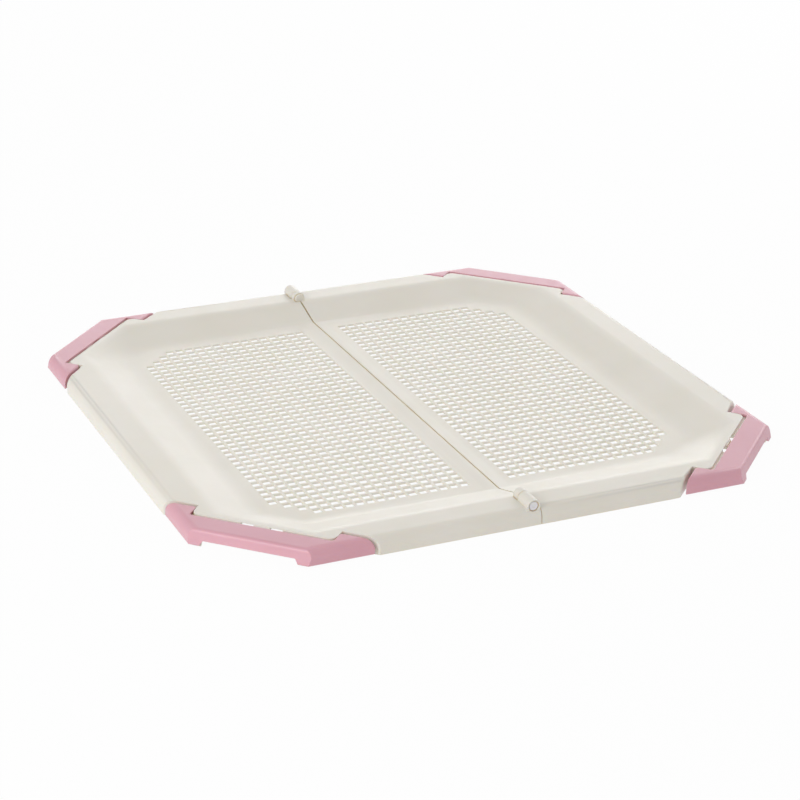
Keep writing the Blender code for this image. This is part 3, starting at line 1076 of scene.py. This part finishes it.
    def cut_corner(self, body: Solid, turn: Matrix) -> None:
        """Shape the corner of the tray that one clip covers.

        Args:
            body: the tray half, still without its hollow.
            turn: turn of the corner.
        """
        outline, fit = self.outline, self.fit
        deep = -outline.overrun
        high = outline.height + outline.overrun
        skin = prism("recess", self.recess_outline(0), deep, high, turn)
        skin.cut(outline.form("ledge", self.skirt_recess, self.ledge_top))
        side_reach = fit.slot_from_middle - fit.running_gap
        low = (self.step_face - self.wall, -side_reach, 0)
        top = (self.step_face + self.keeper_depth, side_reach, self.ledge_top + self.keeper_height)
        skin.cut(box("keeper", low, top, turn))
        body.cut(skin)
        for side in (-1, 1):
            body.cut(self.pocket("pocket", 0, side, turn))
        self.soften_corner(body, turn)
        for side in (-1, 1):
            body.cut(self.socket("socket", fit.stub_radius + fit.running_gap, fit.stub_length,
                                 side, turn))
            near = fit.slot_from_middle
            low = (self.step_face - self.slot_undercut, near, deep)
            slot_high = (low[0] + self.slot_depth, near + fit.slot_width,
                         outline.height - self.slot_roof)
            body.cut(box("slot", low, slot_high, turn @ mirrored(side)))
        grip = fit.grip_half_width + self.grip_side
        low = (outline.corner_face - fit.clip_depth / 2, -grip, deep)
        grip_high = (self.far, grip, fit.grip_height - self.grip_clearance)
        body.cut(box("grip", low, grip_high, turn))

    def soften_corner(self, body: Solid, turn: Matrix) -> None:
        """Round the edges of the rim where it meets the clip's pockets and step.

        Args:
            body: the tray half after its recess and pockets are cut.
            turn: turn of the corner.
        """
        back = self.fit.pivot(self.outline) - self.fit.swing_radius - self.heel_gap
        inverse = turn.inverted()
        height = self.outline.height

        def on_collar(point: Vector) -> bool:
            """Whether a point is on the outer end of a pocket."""
            u, v, _ = inverse @ point
            return abs(u - back) < HAIR and abs(v) > self.pocket_side - HAIR

        def on_step(point: Vector) -> bool:
            """Whether a point is on the top edge round the step."""
            u, v, z = inverse @ point
            inside = abs(v) < self.pocket_side + NEAR * 2 and u > back + NEAR
            return abs(z - height) < HAIR and inside

        body.soften(on_collar, self.collar_radius, BEND_STEPS)
        body.soften(on_step, self.step_edge, EDGE_STEPS)

    def soften_seam(self, body: Solid) -> None:
        """Round the top edge of the seam, between the two hinges.

        Args:
            body: the tray half after its basin is cut.
        """
        seam = -self.seam_gap / 2

        def on_seam(point: Vector) -> bool:
            """Whether a point is on the seam's top edge."""
            between = abs(point.y) < self.ring_start
            return abs(point.x - seam) < HAIR and point.z > self.floor_thickness and between

        body.soften(on_seam, self.seam_edge, EDGE_STEPS)

    def add_hinges(self, body: Solid) -> None:
        """Join the hinge knuckles to the left half and make room for the other half's.

        Args:
            body: the tray half.
        """
        gap = self.knuckle_gap
        axis = (0.0, self.hinge_height)
        radius = self.barrel_radius
        ring_room = self.ring_radius + gap
        body.cut(
            rod("barrel_room", radius + gap, -self.ring_end, -self.lug_start, axis),
            rod("ring_room", ring_room, self.ring_start - gap, self.barrel_start, axis),
        )
        edge = self.knuckle_edge
        ring = rod("ring", self.ring_radius, -self.ring_start, -self.ring_end, axis, edge=edge)
        barrel = rod("barrel", radius, self.barrel_start, self.barrel_end, axis, edge=edge)
        lug = rod("lug", radius, -self.lug_start, -self.lug_end, axis, edge=edge)
        low = (-radius, -self.lug_end, self.floor_top)
        lug.join(box("lug_foot", low, (radius, -self.lug_start, axis[1])))
        body.join(ring, barrel, lug)
        bore, blind = self.pin_bore_radius, self.ring_start + self.pin_blind_end
        head_floor = self.lug_end - self.head_room_depth
        body.cut(
            rod("front_bore", bore, -blind, -self.far, axis),
            rod("rear_bore", bore, self.ring_end, self.far, axis),
            rod("head_room", self.head_room_radius, -head_floor, -self.far, axis),
        )

    def make_mesh(self) -> bpy.types.Mesh:
        """Return the mesh of the left half, in place."""
        outline = self.outline
        turns = [turned(Corner.REAR_LEFT.value), turned(Corner.FRONT_LEFT.value)]
        body = outline.form("half", 0, outline.height)
        high = outline.height + outline.overrun
        body.keep(prism("half_plan", self.half_plan(), -outline.overrun, high))
        for turn in turns:
            self.cut_corner(body, turn)
        body.cut(self.hollow(turns))
        space = self.basin("basin", 0)
        space.cut(self.ridge())
        body.cut(space)
        self.soften_seam(body)
        body.cut(self.mesh_openings())
        self.add_hinges(body)
        return body.take_mesh()

    def dress(self) -> list[bpy.types.Object]:
        """Build both halves and return them."""
        places = [
            Place(f"tray_{half.node}", half.value, half.node, half.node) for half in Half
        ]
        return show_copies(self.make_mesh(), TRAY_IVORY.material(), places)


@dataclass(frozen=True)
class CornerClip:
    """A clip that folds over one corner of the tray and holds the pad down."""

    outline: Outline = field(default_factory=Outline)
    fit: CornerFit = field(default_factory=CornerFit)
    wall: float = 0.0022
    lift: float = 0.0020
    fillet: float = 0.0035
    hook_radius: float = 0.0040
    heel_reach: float = 0.0053
    cheek_depth: float = 0.0060
    grip_taper: float = 0.003
    inner_edge: float = 0.0011
    knuckle_edge: float = 0.0020
    heel_edge: float = 0.0008
    knuckle_steps: int = 6

    def back(self) -> float:
        """Distance from the middle of the tray to the back of the clip's wings."""
        return self.fit.pivot(self.outline) - self.heel_reach

    def plan(self) -> list[Point]:
        """Return the clip's plan, wider than the tray at its outer sides."""
        edge = self.fit.clip_edge(self.outline)
        cheek = self.fit.cheek(self.outline)
        fillet, hook = self.fillet, self.hook_radius
        points = arc((edge - fillet, cheek - fillet), fillet, 0, 90, CORNER_STEPS)
        back = self.back()
        far = self.outline.side
        points += arc((back + hook, cheek + hook), hook, 270, 180, CORNER_STEPS)
        points += [(back, far), (far, far)]
        return both_sides(points)

    def profile(self) -> list[Point]:
        """Return the side view of the clip, with a soft edge at the back of its wings."""
        back, top = self.back(), self.outline.height
        edge, heel = self.knuckle_edge, self.heel_edge
        high = top + self.outline.overrun
        far = self.outline.side
        points = [(far, self.lift)]
        points += arc((back + heel, self.lift + heel), heel, 270, 180, EDGE_STEPS)
        points += arc((back + edge, top - edge), edge, 180, 90, self.knuckle_steps)
        return points + [(back + edge, high), (far, high)]

    def hollow(self, turn: Matrix) -> Solid:
        """Make the space under the clip, short of its cheeks and ends.

        Args:
            turn: turn that puts a corner of the tray along +X.

        Returns:
            The space as a closed body.
        """
        deep = -self.outline.overrun * 2
        pivot = self.fit.pivot(self.outline)
        far = self.outline.side
        hollow = self.outline.form(
            "clip_hollow", self.wall, self.outline.height - self.fit.clip_plate, turn
        )
        cheek = pivot + self.cheek_depth
        side = self.fit.cheek(self.outline) + self.wall
        back = self.back()
        plan = both_sides([(cheek, side), (back, side), (back, far), (far, far)])
        hollow.keep(prism("clip_hollow_plan", plan, deep, self.outline.height))
        inner, roof = back + self.wall, self.outline.height - self.wall
        edge = self.knuckle_edge
        points = [(far, deep), (inner, deep)]
        points += arc((inner + edge, roof - edge), edge, 180, 90, BEND_STEPS)
        points.append((far, roof))
        return hollow.keep(profile_prism("clip_hollow_profile", points, far))

    def make_mesh(self) -> bpy.types.Mesh:
        """Return the mesh of one clip, outward along +X."""
        outline, fit = self.outline, self.fit
        turn = turned(45)
        high = outline.height + outline.overrun
        body = outline.form("clip", 0, outline.height, turn)
        body.keep(prism("clip_plan", self.plan(), -outline.overrun, high + outline.overrun))
        body.keep(profile_prism("clip_profile", self.profile(), outline.side))

        def on_inner_edge(point: Vector) -> bool:
            """Whether a point is on the top edge that faces the tray's middle."""
            near = point.x < fit.clip_edge(outline) + NEAR
            return abs(point.z - outline.height) < HAIR and near

        body.soften(on_inner_edge, self.inner_edge, EDGE_STEPS)
        body.cut(self.hollow(turn))
        wide = fit.grip_half_width + self.grip_taper
        low = self.lift - outline.overrun
        points = [
            (-wide, self.lift), (-fit.grip_half_width, fit.grip_height),
            (fit.grip_half_width, fit.grip_height), (wide, self.lift), (wide, low), (-wide, low),
        ]
        stand = turned(90) @ Matrix.Rotation(math.pi / 2, 4, "X")
        shift = Matrix.Translation((outline.corner_face, 0, 0))
        depth = fit.clip_depth / 2
        body.cut(prism("grip", points, -depth, depth, shift @ stand))
        cheek = fit.cheek(outline)
        for side in (-1, 1):
            start = (cheek - fit.stub_length + fit.running_gap * 2) * side
            end = (cheek + self.wall / 2) * side
            centre = (fit.pivot(outline), fit.pivot_height(outline))
            body.join(rod("stub", fit.stub_radius, start, end, centre, sides=STUB_SIDES))
        return body.take_mesh()

    def dress(self) -> list[bpy.types.Object]:
        """Build the four clips and return them."""
        places = [
            Place(f"corner_{corner.node}", corner.value, corner.node, corner.node)
            for corner in Corner
        ]
        return show_copies(self.make_mesh(), CLIP_PINK.material(), places)


@dataclass(frozen=True)
class HingePin:
    """A headed pin that the two halves fold on."""

    tray: TrayHalf = field(default_factory=TrayHalf)
    radius: float = 0.0022
    end_gap: float = 0.0003
    head_radius: float = 0.0043
    head_thickness: float = 0.0012
    head_recess: float = 0.0005
    head_edge: float = 0.0004
    dimple_radius: float = 0.0016
    dimple_depth: float = 0.0003

    def make_mesh(self) -> bpy.types.Mesh:
        """Return the mesh of the front pin, in place."""
        tray = self.tray
        axis = (0.0, tray.hinge_height)
        inner = tray.ring_start + tray.pin_blind_end + self.end_gap
        head_end = tray.lug_end - self.head_recess
        head_start = head_end - self.head_thickness
        middle = (head_start + head_end) / 2
        head = rod("pin_head", self.head_radius, -head_start, -head_end, axis, edge=self.head_edge)
        head.join(rod("pin_shank", self.radius, -inner, -middle, axis))
        floor = head_end - self.dimple_depth
        head.cut(rod("pin_dimple", self.dimple_radius, -floor, -tray.far, axis))
        return head.take_mesh()

    def dress(self) -> list[bpy.types.Object]:
        """Build the two pins and return them."""
        places = [
            Place(f"pin_{end}", half.value, half.node, f"hinge_pin_{end}")
            for half, end in ((Half.LEFT, "front"), (Half.RIGHT, "rear"))
        ]
        return show_copies(self.make_mesh(), PIN_PALE.material(), places)


@dataclass(frozen=True)
class Softbox:
    """One flat lamp of the studio."""

    name: str
    place: Spot
    width: float
    height: float
    watts: float

    def hang(self) -> None:
        """Put the lamp in the scene, turned to the middle of the tray."""
        light = bpy.data.lights.new(self.name, "AREA")
        light.shape = "RECTANGLE"
        light.size = self.width
        light.size_y = self.height
        light.energy = self.watts
        lamp = put(self.name, light)
        lamp.location = self.place
        lamp.rotation_mode = "QUATERNION"
        lamp.rotation_quaternion = (-Vector(self.place)).to_track_quat("-Z", "Y")


@dataclass(frozen=True)
class Studio:
    """White sweep, soft lamps and the camera of the picture."""

    azimuth: float = -24.399
    elevation: float = 23.241
    roll: float = 0.819
    distance: float = 2.3427
    shift_right: float = -0.0013
    shift_up: float = -0.0032
    lens: float = 104.81
    sensor: float = 36.0
    floor_side: float = 14.0
    floor_colour: str = "#F2F2F2"
    floor_glow: float = 0.96
    floor_bounce: float = 0.50
    world_level: float = 0.56

    def camera(self) -> None:
        """Set the camera at the picture's viewing angle."""
        a, e, r = (math.radians(v) for v in (self.azimuth, self.elevation, self.roll))
        back = Vector((math.sin(a) * math.cos(e), -math.cos(a) * math.cos(e), math.sin(e)))
        right = Vector((math.cos(a), math.sin(a), 0))
        up = back.cross(right)
        turned_right = right * math.cos(r) + up * math.sin(r)
        turned_up = up * math.cos(r) - right * math.sin(r)
        place = back * self.distance - turned_right * self.shift_right - turned_up * self.shift_up
        data = bpy.data.cameras.new("camera")
        data.lens = self.lens
        data.sensor_width = self.sensor
        camera = put("camera", data)
        columns = Matrix((turned_right, turned_up, back)).transposed().to_4x4()
        camera.matrix_world = Matrix.Translation(place) @ columns
        bpy.context.scene.camera = camera

    def floor(self) -> None:
        """Lay the pale floor, which the camera sees white outside the soft shadow."""
        bm = bmesh.new()
        bmesh.ops.create_grid(bm, x_segments=1, y_segments=1, size=self.floor_side / 2)
        mesh = bpy.data.meshes.new("floor")
        bm.to_mesh(mesh)
        bm.free()
        made = bpy.data.materials.new("white_paper_sweep")
        made.use_nodes = True
        tree = made.node_tree
        tree.nodes.remove(tree.nodes["Principled BSDF"])
        paper = add_node(tree, "ShaderNodeBsdfDiffuse", {"Color": linear(self.floor_colour)})
        glow = add_node(tree, "ShaderNodeEmission", {"Strength": 1.0})
        share = add_node(
            tree, "ShaderNodeMapRange",
            {"Value": self.seen_ray(tree), "To Min": self.floor_bounce, "To Max": self.floor_glow},
        )
        both = add_node(
            tree, "ShaderNodeMixShader",
            {0: share.outputs["Result"], 1: paper.outputs[0], 2: glow.outputs[0]},
        )
        tree.links.new(both.outputs[0], tree.nodes["Material Output"].inputs["Surface"])
        mesh.materials.append(made)
        floor = put("floor", mesh)

    def seen_ray(self, tree: bpy.types.NodeTree) -> bpy.types.NodeSocket:
        """Return a socket that is 1 for camera, glossy and transmitted rays.

        Args:
            tree: node tree that gets the nodes.

        Returns:
            The output socket.
        """
        path = add_node(tree, "ShaderNodeLightPath", {})
        first = add_node(
            tree, "ShaderNodeMath",
            {0: path.outputs["Is Camera Ray"], 1: path.outputs["Is Glossy Ray"]},
            operation="MAXIMUM",
        )
        return add_node(
            tree, "ShaderNodeMath",
            {0: first.outputs["Value"], 1: path.outputs["Is Transmission Ray"]},
            operation="MAXIMUM",
        ).outputs["Value"]

    def world(self) -> None:
        """Light the room softly from all round, and show it white."""
        world = bpy.data.worlds.new("studio")
        world.use_nodes = True
        tree = world.node_tree
        seen = self.seen_ray(tree)
        level = add_node(
            tree, "ShaderNodeMapRange",
            {"Value": seen, "To Min": self.world_level, "To Max": 1.0},
        )
        tree.links.new(level.outputs["Result"], tree.nodes["Background"].inputs["Strength"])
        tree.nodes["Background"].inputs["Color"].default_value = linear("#FFFFFF")
        bpy.context.scene.world = world

    def build(self) -> None:
        """Set up the whole studio."""
        self.floor()
        self.world()
        for lamp in (
            Softbox("soft_light_right", (2.2, 0.9, 1.3), 1.3, 1.3, 13.0),
            Softbox("soft_light_left", (-2.4, -0.9, 1.1), 1.2, 1.2, 27.0),
            Softbox("bright_wall_behind", (1.3, 2.9, 0.6), 3.4, 1.2, 19.5),
        ):
            lamp.hang()
        self.camera()
        bpy.context.scene.view_settings.view_transform = "Standard"


def main() -> None:
    """Build the pieces in order, report each one, and light the scene."""
    logging.basicConfig(level=logging.INFO, format="%(message)s")
    for maker in (TrayHalf(), CornerClip(), HingePin()):
        for piece in maker.dress():
            LOG.info("%s: %d faces", piece.name, len(piece.data.polygons))
    Studio().build()


if __name__ == "__main__":
    main()
